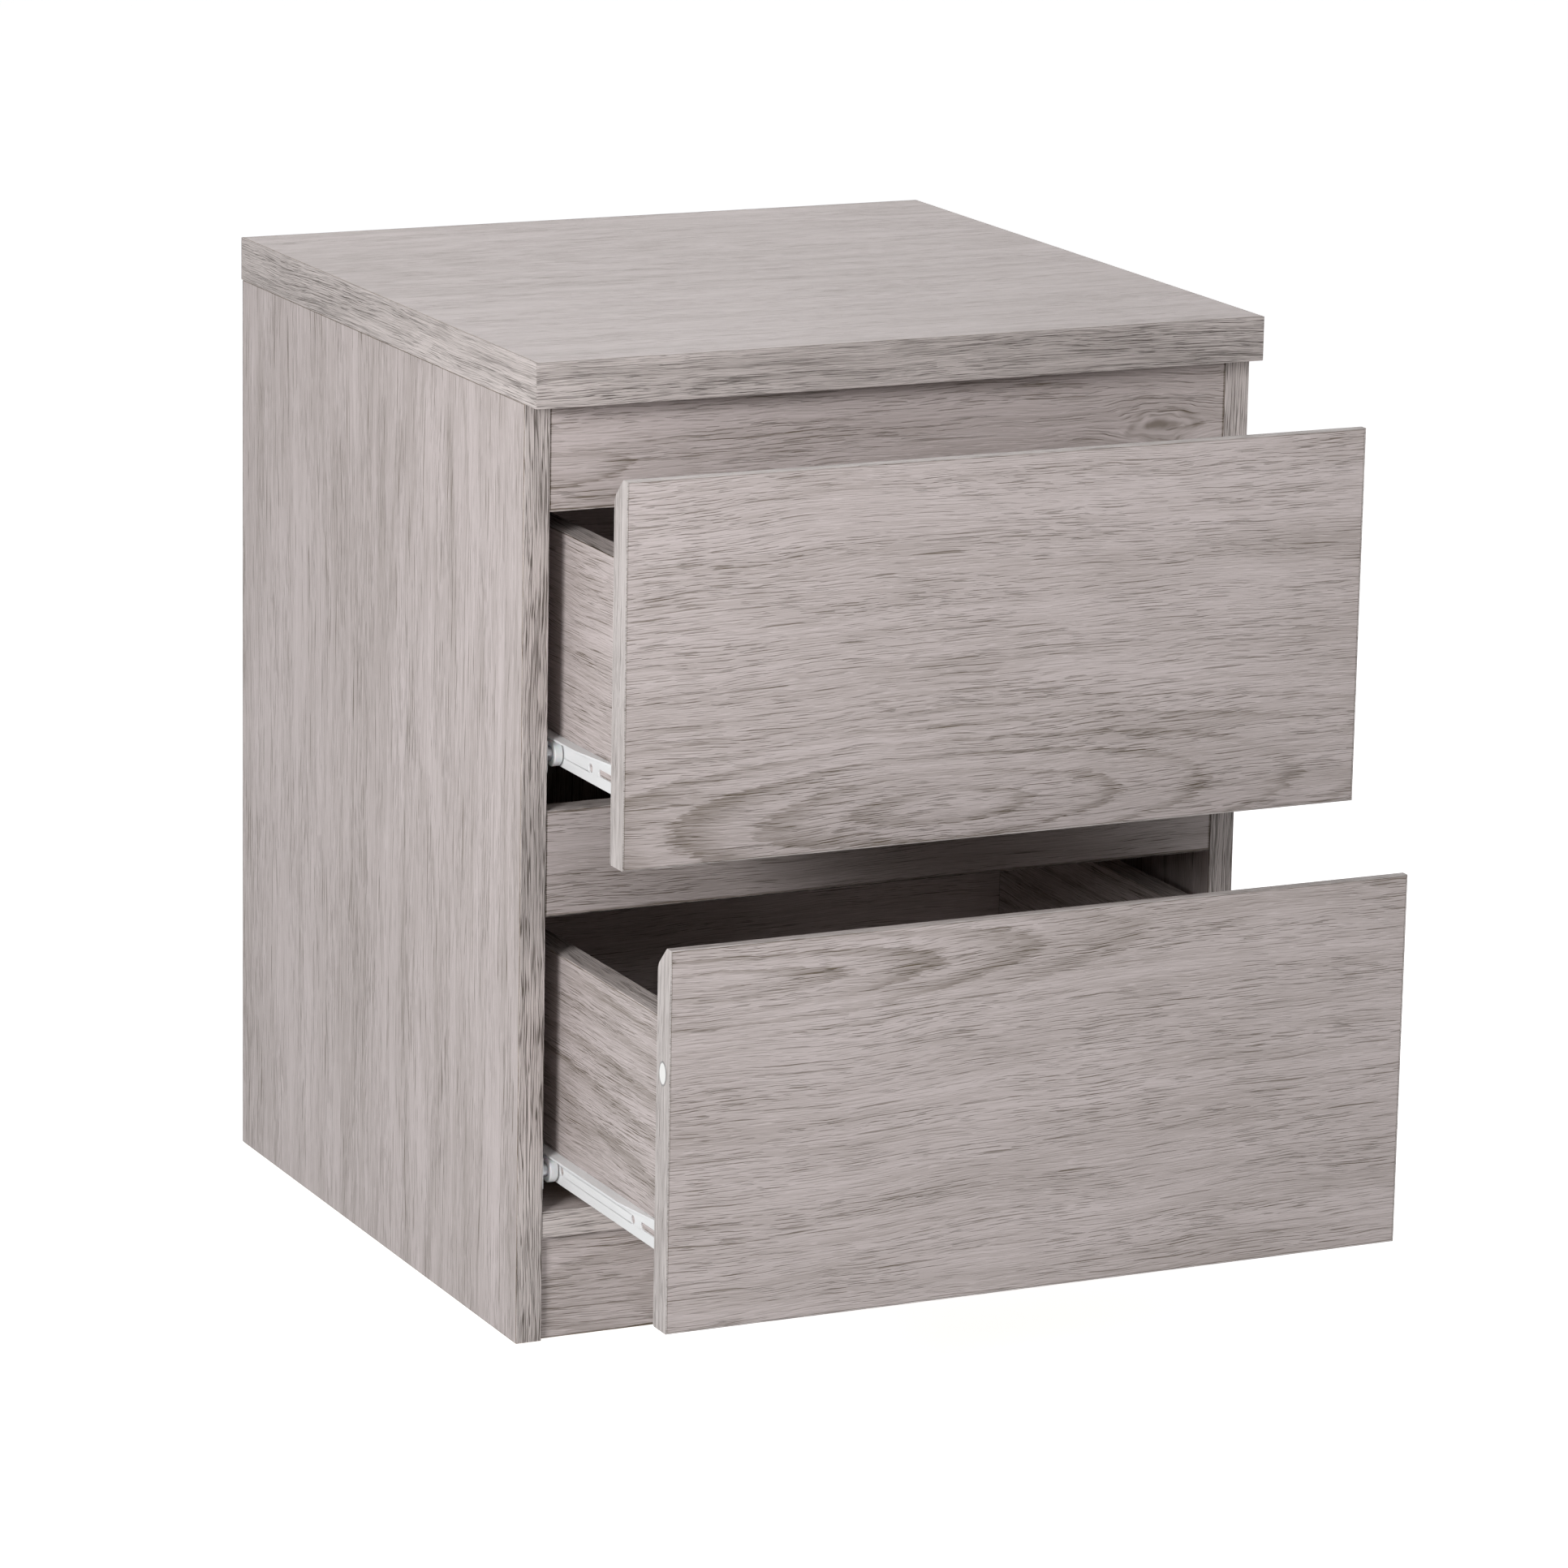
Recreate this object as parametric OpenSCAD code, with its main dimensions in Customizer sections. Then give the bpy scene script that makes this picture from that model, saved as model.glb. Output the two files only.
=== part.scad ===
// Two-drawer nightstand of laminated board, with handle-less overlay fronts
// and roller slides. Drawn with both drawers part way out.
// +X is to the right seen from the front, -Y is the front, +Z is up, and the
// origin is at the floor, in the middle of the open nightstand's footprint.

/* [Cabinet] */
// Width of the cabinet and of its top
cabinet_w = 440; // [400:5:480]
// Depth of the top, front edge to back edge
top_d = 438; // [430:1:460]
// Height of the cabinet
cabinet_h = 550; // [530:5:600]
// Thickness of the top
top_t = 25; // [22:1:28]
// Thickness of the boards under the top
board_t = 15; // [15:0.5:16]
// Thickness of the edge bands
band_t = 0.8; // [0.4:0.1:1]
// How far the top stands out past the front edges of the side panels
top_overhang = 15.5; // [14:0.5:17]
// How far the side panels stop short of the top's back edge
back_inset = 2; // [0:0.5:4]
// Height of the two front rails
rail_h = 59.5; // [50:0.5:60]
// How far the rails and the bottom panel sit behind the side panels' front edges
rail_setback = 0.7; // [0.3:0.1:2]
// Height of the plinth, which is also the underside of the bottom panel
plinth_h = 59; // [50:1:60]
// How far the plinth sits behind the side panels' front edges
plinth_setback = 4; // [1:0.5:8]
// Thickness of the hardboard back and of the drawer bottoms
hardboard_t = 3; // [2.5:0.5:3]

/* [Drawer fronts] */
// Width of each front
front_w = 438.5; // [398:0.5:438.5]
// Thickness of each front
front_t = 16; // [15:0.5:18]
// Height of the lower front's bottom edge above the floor
front_floor_gap = 65; // [60:1:70]
// Finger gap between the two fronts
front_gap = 27; // [20:1:30]
// Finger gap between the upper front and the top
top_gap = 17; // [15:1:20]
// Width of the flat land on a front's top edge, in front of the finger bevel
top_land = 5; // [3:0.5:8]
// Height of the finger bevel on the back of a front
bevel_h = 11; // [8:0.5:14]
// Distance from the cabinet to the upper front's back, as drawn
upper_open = 117; // [1:1:300]
// Distance from the cabinet to the lower front's back, as drawn
lower_open = 180; // [1:1:300]

/* [Drawer boxes] */
// Length of the drawer sides and of the slides
slide_len = 400; // [395:1:400]
// Height of the drawer sides with their edge bands
side_h = 128; // [110:1:130]
// Height of the drawer sides' bottom edges above the fronts' bottom edges
side_rise = 24; // [22:1:28]
// Width of the gap on each side that holds a slide
slide_gap = 12.5; // [12.5:0.1:13]

/* [Slides] */
// Thickness of the slides' sheet steel
sheet_t = 1.2; // [1:0.1:1.2]
// Height of a drawer runner
runner_h = 16.5; // [16:0.5:18]
// Radius of the rollers
roller_r = 7.3; // [6.5:0.1:7.3]
// Width of the cabinet rollers, on the front ends of the channels
roller_w = 5; // [4.5:0.1:5.2]
// Width of the drawer rollers, on the back ends of the runners
rear_roller_w = 6.9; // [6:0.1:7]
// Distance between the runners' round holes
hole_pitch = 96; // [64:32:96]

/* [Hidden] */
$fn = 64;

// colours
oak = [0.70, 0.67, 0.65];
oak_edge = [0.60, 0.56, 0.54];
pale_edge = [0.80, 0.78, 0.75];
board_brown = [0.52, 0.45, 0.38];
white_steel = [0.93, 0.93, 0.93];
white_nylon = [0.86, 0.87, 0.88];
zinc = [0.66, 0.67, 0.69];
beech = [0.80, 0.66, 0.47];

// clearances
seat_gap = 0.04;    // on the diameter of a fastener in its own hole
hole_end = 0.5;     // past the end of a fastener in a blind hole
steel_gap = 0.25;   // round a screw where it passes through a slide
run_gap = 0.3;      // between a roller and the flange it runs on
axle_gap = 0.05;    // on the radius of a roller's bore
face_gap = 0.1;     // beside a roller, and round a cam disc in its pocket
seam = 0.1;         // between two edge bands that meet at a corner
cut = 1;            // how far a cutting shape runs past the face it opens

// cabinet heights and widths
inner_x = cabinet_w / 2 - board_t;
under_top = cabinet_h - top_t;
bottom_z = plinth_h;
inside_z = plinth_h + board_t;
side_d = top_d - top_overhang - back_inset;
upper_rail_z = under_top - rail_h;
front_h = (under_top - top_gap - front_gap - front_floor_gap) / 2;
lower_front_z = front_floor_gap;
upper_front_z = front_floor_gap + front_h + front_gap;
rail_over_front = 0.7;    // the middle rail's top above the upper front's foot
middle_rail_z = upper_front_z + rail_over_front - rail_h;

// The drawing is centred front to back between the lower front's face and the
// back edge of the top.
cabinet_front_y = (lower_open + front_t - (top_d - top_overhang)) / 2;

// hardboard panels in grooves
groove_gap = 0.1;         // on each face of the panel
groove_w = hardboard_t + 2 * groove_gap;
groove_d = 6;
panel_in_groove = 5.5;
back_margin = 10;         // from the back panel to the side panels' back edges
back_y = side_d - back_margin - hardboard_t;

// cam fittings: a bolt in a board's face, held by a disc in the other's edge
cam_reach = 24;           // from the joint to the middle of the disc
cam_r = 7.4;
cam_depth = 12.6;
cam_bore_r = 4;
cross_slot = [0.6, 4, 3]; // half width, half length and depth
bolt_r = 2.5;
bolt_grip = 9;
collar_r = 3.7;
collar_h = 2;
shank_r = 2.2;
bolt_head_r = 3.3;
bolt_head_h = 5;
bolt_head_back = 3;       // the bolt's head starts this far short of cam_reach

// dowels, screws and nails
dowel_r = 4;
dowel_grip = 9;
dowel_reach = 19;
screw_r = 1.75;
screw_head_r = 3.5;
screw_head_h = 1.6;
screw_len = 13;
end_screw_len = 40;
drive_half_w = 0.4;       // cross recess of a screw
drive_half_l = 2;
drive_d = 1;
sink_r = 4;               // countersunk head
sink_h = 2.2;
sink_gap = 0.2;
nail_r = 0.8;
nail_head_r = 2;
nail_head_h = 0.6;
nail_len = 20;

// places along the side panels of the fittings that hold the top and bottom
top_bolts_y = [60, side_d - 70];
top_dowels_y = [100, side_d - 110];
bottom_bolts_y = [50, side_d - 90];
bottom_dowels_y = [90, side_d - 130];
rail_bolt_z = 18;
rail_dowel_z = 42;
rail_mid_y = rail_setback + board_t / 2;
plinth_mid_y = plinth_setback + board_t / 2;

// drawer box
side_x = inner_x - slide_gap;
box_x = side_x - board_t;
bottom_rise = 10;
corner_gap = 0.2;         // round the corner cut out of a drawer bottom
box_bolts_z = [32, 96];

// slides; their own height 0 is the underside of the runner
web_x = side_x + sheet_t;
flange_x = web_x + 5.5;
under_flange = 10;        // how far the runner reaches under the drawer side
runner_front = 2;
taper_start = 50;
taper_end = 92;
roller_z = runner_h - sheet_t - run_gap - roller_r;
channel_low = roller_z - roller_r - run_gap - sheet_t;
channel_start = 2;
flange_start = 22;
channel_lip = 4.8;
channel_track = 10;
roller_y = channel_start + roller_r + 0.3;
rear_roller_y = slide_len - roller_r - 2.7;
roller_shoulder = 0.6;    // soft edge of a roller's tread
axle_r = 2.5;
axle_head_r = 4;
axle_head_t = 0.7;
head_gap = 0.3;           // behind an axle's head in its roller
roller_in_x = web_x + 0.7;
rear_roller_in_x = web_x + 0.6;
first_hole_y = 84.5;
slot_front_y = 40;
slot_back_y = 74;
slot_h = 4;
hole_r = 2.5;
channel_screws_y = [37, 165, 325];
runner_screws_y = [60, 200, 340];

// blank sticker, an upright oval
sticker_h = 13.5;
sticker_w = 9;
sticker_t = 0.2;
sticker_rise = 140;

// ---- placing ----

// cabinet frame: y = 0 is the plane of the side panels' front edges
module in_cabinet() {
  translate([0, cabinet_front_y, 0]) children();
}

// drawer frame: y = 0 is the back of the front, z = 0 is its bottom edge
module in_drawer(open, front_z) {
  translate([0, cabinet_front_y - open, front_z]) children();
}

module in_upper_drawer() {
  in_drawer(upper_open, upper_front_z) children();
}

module in_lower_drawer() {
  in_drawer(lower_open, lower_front_z) children();
}

// Everything with a left and a right is drawn on the left and mirrored.
module on_right() {
  mirror([1, 0, 0]) children();
}

module both_sides() {
  children();
  on_right() children();
}

module block(low, high) {
  translate(low) cube(high - low);
}

// a cylinder that lies along X, from x0 towards +X
module rod_x(r, x0, x1) {
  translate([x0, 0, 0]) rotate([0, 90, 0]) cylinder(r = r, h = x1 - x0);
}

// ---- fittings that join the edge of one board to the face of another ----
// Joint frame: the origin is on the joint, +Z runs into the edge of the
// board that holds the disc, and +X points to the face the disc goes in from.

module cam_bolt() {
  translate([0, 0, -bolt_grip]) cylinder(r = bolt_r, h = bolt_grip);
  cylinder(r = collar_r, h = collar_h);
  cylinder(r = shank_r, h = cam_reach - bolt_head_back);
  translate([0, 0, cam_reach - bolt_head_back]) cylinder(r = bolt_head_r, h = bolt_head_h);
}

module cam_bolt_hole() {
  translate([0, 0, -bolt_grip - hole_end])
    cylinder(r = bolt_r + seat_gap / 2, h = bolt_grip + hole_end + cut);
}

module cam_pocket() {
  translate([0, 0, -cut]) cylinder(r = cam_bore_r, h = cam_reach + cut);
  translate([0, 0, cam_reach])
    rod_x(cam_r + face_gap, board_t / 2 - cam_depth, board_t / 2 + cut);
}

module cam_disc() {
  difference() {
    translate([0, 0, cam_reach])
      rod_x(cam_r, board_t / 2 - cam_depth + face_gap, board_t / 2 - face_gap);
    cylinder(r = cam_bore_r, h = cam_reach + bolt_head_h - bolt_head_back + 1);
    for (half = [[cross_slot[0], cross_slot[1]], [cross_slot[1], cross_slot[0]]])
      block([board_t / 2 - cross_slot[2], -half[0], cam_reach - half[1]],
            [board_t / 2 + cut, half[0], cam_reach + half[1]]);
  }
}

module dowel() {
  translate([0, 0, -dowel_grip])
    cylinder(r = dowel_r, h = dowel_grip + dowel_reach);
}

module dowel_hole() {
  translate([0, 0, -dowel_grip - hole_end])
    cylinder(r = dowel_r + seat_gap / 2, h = dowel_grip + dowel_reach + 2 * hole_end);
}

// cross recess in a screw's head, cut down from height top_z
module drive(top_z) {
  for (half = [[drive_half_w, drive_half_l], [drive_half_l, drive_half_w]])
    block([-half[0], -half[1], top_z - drive_d], [half[0], half[1], top_z + cut]);
}

// pan-head screw: its head stands on +Z of the origin
module screw(length) {
  difference() {
    cylinder(r = screw_head_r, h = screw_head_h);
    drive(screw_head_h);
  }
  translate([0, 0, -length]) cylinder(r = screw_r, h = length);
}

module screw_hole(length) {
  translate([0, 0, -length - hole_end])
    cylinder(r = screw_r + seat_gap / 2, h = length + hole_end + cut);
}

// Joint frames on the left side of the cabinet
module at_top_joints(places) {
  for (y = places)
    translate([-inner_x - board_t / 2, y, under_top]) rotate([180, 0, 0]) children();
}

module at_bottom_joints(places) {
  for (y = places)
    translate([-inner_x, y, bottom_z + board_t / 2]) rotate([0, 90, 0]) children();
}

module at_rail_joint(z, y) {
  translate([-inner_x, y, z]) rotate([90, 0, 90]) children();
}

module at_bolts() {
  at_top_joints(top_bolts_y) children();
  at_bottom_joints(bottom_bolts_y) children();
  for (z = [upper_rail_z, middle_rail_z])
    at_rail_joint(z + rail_bolt_z, rail_mid_y) children();
  at_rail_joint(rail_bolt_z, plinth_mid_y) children();
}

module at_dowels() {
  at_top_joints(top_dowels_y) children();
  at_bottom_joints(bottom_dowels_y) children();
  for (z = [upper_rail_z, middle_rail_z])
    at_rail_joint(z + rail_dowel_z, rail_mid_y) children();
  at_rail_joint(rail_dowel_z, plinth_mid_y) children();
}

module at_channel_screws(places) {
  for (front_z = [lower_front_z, upper_front_z])
    for (y = places)
      translate([-inner_x + sheet_t, y, front_z + side_rise - sheet_t + roller_z])
        rotate([0, 90, 0]) children();
}

// ---- cabinet boards ----

module top_panel() {
  color(oak) in_cabinet() difference() {
    block([-cabinet_w / 2 + band_t, -top_overhang + band_t, under_top],
          [cabinet_w / 2 - band_t, side_d + back_inset - band_t, cabinet_h]);
    both_sides() {
      at_top_joints(top_bolts_y) cam_bolt_hole();
      at_top_joints(top_dowels_y) dowel_hole();
    }
    block([-inner_x - groove_d, back_y - groove_gap, under_top - cut],
          [inner_x + groove_d, back_y - groove_gap + groove_w, under_top + groove_d]);
  }
}

// long strips on the front and back edges, short ones between them
module top_edge_bands() {
  color(oak_edge) in_cabinet() {
    for (y = [-top_overhang, side_d + back_inset - band_t])
      block([-cabinet_w / 2, y, under_top], [cabinet_w / 2, y + band_t, cabinet_h]);
    both_sides()
      block([-cabinet_w / 2, -top_overhang + band_t + seam, under_top],
            [-cabinet_w / 2 + band_t, side_d + back_inset - band_t - seam, cabinet_h]);
  }
}

module side_panel() {
  difference() {
    block([-cabinet_w / 2, band_t, 0], [-inner_x, side_d - band_t, under_top]);
    at_top_joints(top_bolts_y) cam_pocket();
    at_top_joints(top_dowels_y) dowel_hole();
    at_bottom_joints(bottom_bolts_y) cam_bolt_hole();
    at_bottom_joints(bottom_dowels_y) dowel_hole();
    for (z = [upper_rail_z, middle_rail_z]) {
      at_rail_joint(z + rail_bolt_z, rail_mid_y) cam_bolt_hole();
      at_rail_joint(z + rail_dowel_z, rail_mid_y) dowel_hole();
    }
    at_rail_joint(rail_bolt_z, plinth_mid_y) cam_bolt_hole();
    at_rail_joint(rail_dowel_z, plinth_mid_y) dowel_hole();
    at_channel_screws(channel_screws_y) screw_hole(screw_len);
    block([-inner_x - groove_d, back_y - groove_gap, bottom_z],
          [-inner_x + cut, back_y - groove_gap + groove_w, under_top + cut]);
  }
}

module left_side_panel() {
  color(oak) in_cabinet() side_panel();
}

module right_side_panel() {
  color(oak) in_cabinet() on_right() side_panel();
}

module side_edge_bands() {
  color(oak_edge) in_cabinet() both_sides()
    for (y = [0, side_d - band_t])
      block([-cabinet_w / 2, y, 0], [-inner_x, y + band_t, under_top]);
}

// a front rail, less the bands on its long edges
module rail(z, low_band, high_band) {
  difference() {
    block([-inner_x, rail_setback, z + low_band],
          [inner_x, rail_setback + board_t, z + rail_h - high_band]);
    both_sides() {
      at_rail_joint(z + rail_bolt_z, rail_mid_y) cam_pocket();
      at_rail_joint(z + rail_dowel_z, rail_mid_y) dowel_hole();
    }
  }
}

module upper_rail() {
  color(oak) in_cabinet() rail(upper_rail_z, band_t, 0);
}

module middle_rail() {
  color(oak) in_cabinet() rail(middle_rail_z, band_t, band_t);
}

module rail_edge_bands() {
  color(oak_edge) in_cabinet()
    for (z = [upper_rail_z, middle_rail_z, middle_rail_z + rail_h - band_t])
      block([-inner_x, rail_setback, z], [inner_x, rail_setback + board_t, z + band_t]);
}

module bottom_panel() {
  color(oak) in_cabinet() difference() {
    block([-inner_x, rail_setback + band_t, bottom_z], [inner_x, back_y, inside_z]);
    both_sides() {
      at_bottom_joints(bottom_bolts_y) cam_pocket();
      at_bottom_joints(bottom_dowels_y) dowel_hole();
    }
    at_nails() nail_hole();
  }
}

module bottom_edge_band() {
  color(oak_edge) in_cabinet()
    block([-inner_x, rail_setback, bottom_z], [inner_x, rail_setback + band_t, inside_z]);
}

module plinth() {
  color(oak) in_cabinet() difference() {
    block([-inner_x, plinth_setback, 0], [inner_x, plinth_setback + board_t, plinth_h]);
    both_sides() {
      at_rail_joint(rail_bolt_z, plinth_mid_y) cam_pocket();
      at_rail_joint(rail_dowel_z, plinth_mid_y) dowel_hole();
    }
  }
}

// hardboard in grooves, nailed to the back edge of the bottom panel
module back_panel() {
  color(board_brown) in_cabinet() difference() {
    block([-inner_x - panel_in_groove, back_y, bottom_z],
          [inner_x + panel_in_groove, back_y + hardboard_t, under_top + panel_in_groove]);
    at_nails() nail_hole();
  }
}

module at_nails() {
  for (i = [-2:2])
    translate([i * inner_x * 0.4, back_y + hardboard_t, bottom_z + board_t / 2])
      rotate([-90, 0, 0]) children();
}

module nail() {
  translate([0, 0, -nail_len]) cylinder(r = nail_r, h = nail_len);
  cylinder(r = nail_head_r, h = nail_head_h);
}

module nail_hole() {
  translate([0, 0, -nail_len - hole_end])
    cylinder(r = nail_r + seat_gap / 2, h = nail_len + hole_end + cut);
}

module back_panel_nails() {
  color(zinc) in_cabinet() at_nails() nail();
}

module cabinet_cam_bolts() {
  color(zinc) in_cabinet() both_sides() at_bolts() cam_bolt();
}

module cabinet_cam_discs() {
  color(zinc) in_cabinet() both_sides() at_bolts() cam_disc();
}

module cabinet_dowels() {
  color(beech) in_cabinet() both_sides() at_dowels() dowel();
}

// ---- slides ----

// the slide's height in the drawer frame, and in the cabinet
module in_slide() {
  translate([0, 0, side_rise - sheet_t]) children();
}

module in_cabinet_slide(front_z) {
  in_cabinet() translate([0, 0, front_z]) in_slide() children();
}

// cabinet channel: the drawer's rear roller runs between its two flanges
module channel() {
  difference() {
    union() {
      block([-inner_x, channel_start, channel_low],
            [-inner_x + sheet_t, channel_start + slide_len, runner_h]);
      block([-inner_x, flange_start, channel_low],
            [-inner_x + channel_track, channel_start + slide_len, channel_low + sheet_t]);
      block([-inner_x, flange_start, runner_h - sheet_t],
            [-inner_x + channel_lip, channel_start + slide_len, runner_h]);
    }
    for (y = channel_screws_y)
      translate([-inner_x, y, roller_z]) rod_x(screw_r + steel_gap, -cut, sheet_t + cut);
    translate([-inner_x, roller_y, roller_z]) rod_x(axle_r, -cut, sheet_t + cut);
  }
}

module upper_left_channel() {
  color(white_steel) in_cabinet_slide(upper_front_z) channel();
}

module upper_right_channel() {
  color(white_steel) in_cabinet_slide(upper_front_z) on_right() channel();
}

module lower_left_channel() {
  color(white_steel) in_cabinet_slide(lower_front_z) channel();
}

module lower_right_channel() {
  color(white_steel) in_cabinet_slide(lower_front_z) on_right() channel();
}

module channel_screws() {
  color(zinc) in_cabinet() both_sides()
    at_channel_screws(channel_screws_y) screw(screw_len);
}

// riveted axle with a shoulder that keeps the roller off the channel's web
module channel_axle() {
  translate([0, roller_y, roller_z]) {
    head_x = -roller_in_x - 0.2;
    rod_x(axle_r, -inner_x, head_x);
    rod_x(axle_head_r, -inner_x + sheet_t, -roller_in_x - roller_w - face_gap);
    rod_x(axle_head_r, head_x - axle_head_t, head_x);
  }
}

module channel_axles() {
  color(zinc) both_sides()
    for (front_z = [lower_front_z, upper_front_z])
      in_cabinet_slide(front_z) channel_axle();
}

// a roller on the X axis: its tread has soft shoulders, and one face is
// counterbored for the head of its axle
module roller(width, head_at_end) {
  recess = axle_head_t + head_gap;
  bore_r = axle_r + axle_gap;
  head_x = head_at_end ? width - recess : -cut;
  difference() {
    rotate([0, 90, 0]) rotate_extrude()
      polygon([[bore_r, 0], [roller_r - roller_shoulder, 0], [roller_r, roller_shoulder],
               [roller_r, width - roller_shoulder], [roller_r - roller_shoulder, width],
               [bore_r, width]]);
    rod_x(axle_head_r + head_gap, head_x, head_x + recess + cut);
  }
}

module cabinet_roller() {
  translate([-roller_in_x - roller_w, roller_y, roller_z]) roller(roller_w, true);
}

module upper_left_roller() {
  color(white_nylon) in_cabinet_slide(upper_front_z) cabinet_roller();
}

module upper_right_roller() {
  color(white_nylon) in_cabinet_slide(upper_front_z) on_right() cabinet_roller();
}

module lower_left_roller() {
  color(white_nylon) in_cabinet_slide(lower_front_z) cabinet_roller();
}

module lower_right_roller() {
  color(white_nylon) in_cabinet_slide(lower_front_z) on_right() cabinet_roller();
}

// drawer runner: an upright web with holes, a bottom flange under the drawer
// side and a top flange that runs over the cabinet's roller
module runner() {
  difference() {
    union() {
      block([-web_x, runner_front, 0], [-side_x, slide_len, runner_h]);
      block([-web_x, runner_front, 0], [-side_x + under_flange, slide_len, sheet_t]);
      translate([0, 0, runner_h - sheet_t]) linear_extrude(sheet_t)
        polygon([[-side_x, taper_start], [-web_x, taper_start], [-flange_x, taper_end],
                 [-flange_x, slide_len], [-side_x, slide_len]]);
    }
    for (i = [0:2])
      translate([-web_x, first_hole_y + i * hole_pitch, runner_h / 2])
        rod_x(hole_r, -cut, sheet_t + cut);
    runner_slot();
    for (y = runner_screws_y)
      translate([-side_x + board_t / 3, y, -cut])
        cylinder(r = screw_r + steel_gap, h = sheet_t + 2 * cut);
    translate([-web_x, rear_roller_y, roller_z]) rod_x(axle_r, -cut, sheet_t + cut);
  }
}

module runner_slot() {
  for (y = [slot_front_y + slot_h / 2, slot_back_y - slot_h / 2])
    translate([-web_x, y, runner_h / 2]) rod_x(slot_h / 2, -cut, sheet_t + cut);
  block([-web_x - cut, slot_front_y + slot_h / 2, (runner_h - slot_h) / 2],
        [-side_x + cut, slot_back_y - slot_h / 2, (runner_h + slot_h) / 2]);
}

module at_runner_screws() {
  for (y = runner_screws_y)
    translate([-side_x + board_t / 3, y, 0]) rotate([180, 0, 0]) children();
}

module runner_axle() {
  translate([0, rear_roller_y, roller_z]) {
    head_x = -rear_roller_in_x - rear_roller_w + 0.2;
    rod_x(axle_r, head_x, -side_x);
    rod_x(axle_head_r, -rear_roller_in_x + face_gap, -web_x);
    rod_x(axle_head_r, head_x, head_x + axle_head_t);
  }
}

module rear_roller() {
  translate([-rear_roller_in_x - rear_roller_w, rear_roller_y, roller_z])
    roller(rear_roller_w, false);
}

// ---- drawers ----

// a front's outline seen from the left end: y is depth, z is height
module front_outline() {
  soft_r = 8;
  foot_r = 1.5;
  // the bevel meets the back in an arc of soft_r
  slope = atan((front_t - top_land) / bevel_h);
  back_z = front_h - bevel_h - soft_r * tan(slope / 2);
  polygon(concat(
    [[-front_t, 0]],
    [for (a = [-90:30:0]) [foot_r * (cos(a) - 1), foot_r * (sin(a) + 1)]],
    [for (i = [0:4]) [soft_r * (cos(slope * i / 4) - 1), back_z + soft_r * sin(slope * i / 4)]],
    [[-front_t + top_land, front_h], [-front_t, front_h]]
  ));
}

// the part of a front between two ends and two heights
module front_slice(x0, x1, z0, z1) {
  translate([x0, 0, 0]) rotate([90, 0, 90]) linear_extrude(x1 - x0)
    intersection() {
      front_outline();
      translate([-front_t - cut, z0]) square([front_t + 2 * cut, z1 - z0]);
    }
}

module at_front_joints() {
  for (z = box_bolts_z)
    translate([-side_x + board_t / 2, 0, side_rise + z]) rotate([-90, 0, 0]) children();
}

module at_back_screws() {
  for (z = box_bolts_z)
    translate([-side_x, slide_len - board_t / 2, side_rise + z])
      rotate([0, -90, 0]) children();
}

module drawer_front() {
  difference() {
    front_slice(-front_w / 2 + band_t, front_w / 2 - band_t, band_t, front_h - band_t);
    both_sides() at_front_joints() cam_bolt_hole();
    block([-box_x - groove_d, -groove_d, side_rise + bottom_rise],
          [box_x + groove_d, cut, side_rise + bottom_rise + groove_w]);
  }
}

module front_edge_bands() {
  both_sides() front_slice(-front_w / 2, -front_w / 2 + band_t, 0, front_h);
  for (z = [0, front_h - band_t])
    front_slice(-front_w / 2 + band_t + seam, front_w / 2 - band_t - seam, z, z + band_t);
}

module drawer_side() {
  difference() {
    block([-side_x, 0, side_rise], [-box_x, slide_len, side_rise + side_h - band_t]);
    block([-box_x - groove_d, -cut, side_rise + bottom_rise],
          [-box_x + cut, slide_len - board_t, side_rise + bottom_rise + groove_w]);
    at_front_joints() cam_pocket();
    at_back_screws() screw_hole(end_screw_len);
    at_back_screws() screw_sink();
    in_slide() at_runner_screws() screw_hole(screw_len);
  }
}

module drawer_back() {
  difference() {
    block([-box_x, slide_len - board_t, side_rise],
          [box_x, slide_len, side_rise + side_h - band_t]);
    block([-box_x - cut, slide_len - board_t - cut, side_rise + bottom_rise],
          [box_x + cut, slide_len - board_t + groove_d, side_rise + bottom_rise + groove_w]);
    both_sides() at_back_screws() screw_hole(end_screw_len);
  }
}

module drawer_bottom() {
  panel_z = side_rise + bottom_rise + groove_gap;
  difference() {
    block([-box_x - panel_in_groove, -panel_in_groove, panel_z],
          [box_x + panel_in_groove, slide_len - board_t + panel_in_groove,
           panel_z + hardboard_t]);
    // corners cut away to pass the ends of the grooves
    both_sides()
      block([-box_x - groove_d, slide_len - board_t - corner_gap, side_rise],
            [-box_x + corner_gap, slide_len, side_rise + side_h]);
  }
}

module box_edge_bands() {
  top_z = side_rise + side_h;
  both_sides() block([-side_x, 0, top_z - band_t], [-box_x, slide_len, top_z]);
  block([-box_x + seam, slide_len - board_t, top_z - band_t],
        [box_x - seam, slide_len, top_z]);
}

// countersunk screw, just under the outside of the drawer side
module end_screw() {
  translate([0, 0, -end_screw_len]) cylinder(r = screw_r, h = end_screw_len - sink_h);
  difference() {
    translate([0, 0, -sink_gap - sink_h]) cylinder(r1 = screw_r, r2 = sink_r, h = sink_h);
    drive(-sink_gap);
  }
}

// the cone that its head sits in
module screw_sink() {
  low_z = -sink_gap - sink_h - face_gap;
  translate([0, 0, low_z])
    cylinder(r1 = screw_r, r2 = sink_r + 2 * sink_gap, h = face_gap - low_z);
}

module upper_drawer_front() {
  color(oak) in_upper_drawer() drawer_front();
}

module upper_front_edge_bands() {
  color(pale_edge) in_upper_drawer() front_edge_bands();
}

module upper_drawer_left_side() {
  color(oak) in_upper_drawer() drawer_side();
}

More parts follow.
